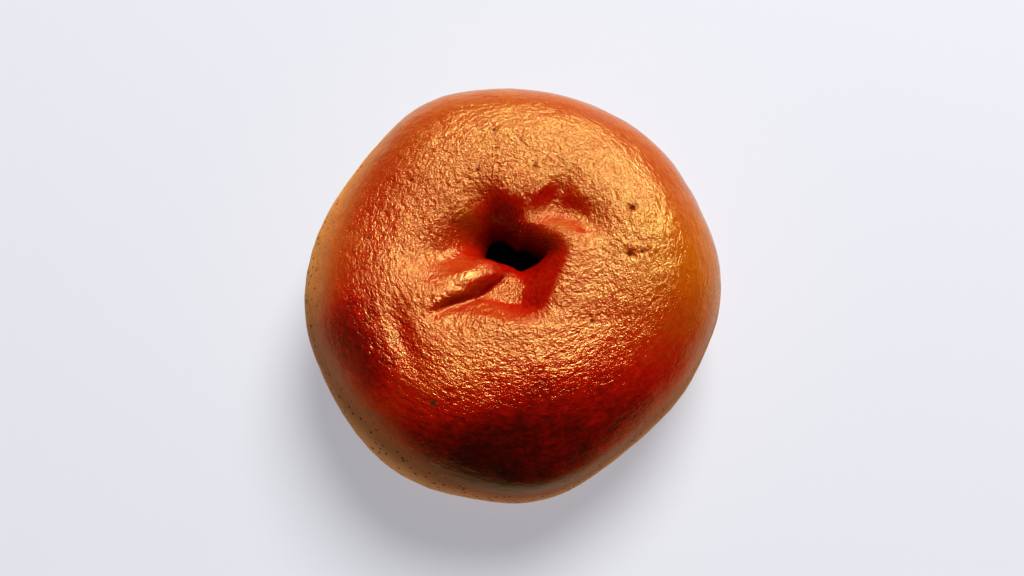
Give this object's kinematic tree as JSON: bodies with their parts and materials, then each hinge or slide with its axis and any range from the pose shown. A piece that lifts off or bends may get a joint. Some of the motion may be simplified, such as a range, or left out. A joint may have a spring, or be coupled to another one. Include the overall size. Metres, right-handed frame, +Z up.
{
  "type": "bagel",
  "caption": "Glossy browned ring-shaped bun with a domed top, a puckered centre hole that has almost closed, and a flat base to rest on.",
  "frame": {"origin": "centre of the bun's footprint box, on the surface that its flat base rests on", "axes": "+Z up, out of the domed top; +Y the longer way across the bun, from the side with the straight lower flank to the far side; +X across it"},
  "size_m": [0.1, 0.1028, 0.0419],
  "materials": {
    "crust": "gloss"
  },
  "bodies": {
    "root": {"bun": "crust"}
  },
  "joints": []
}
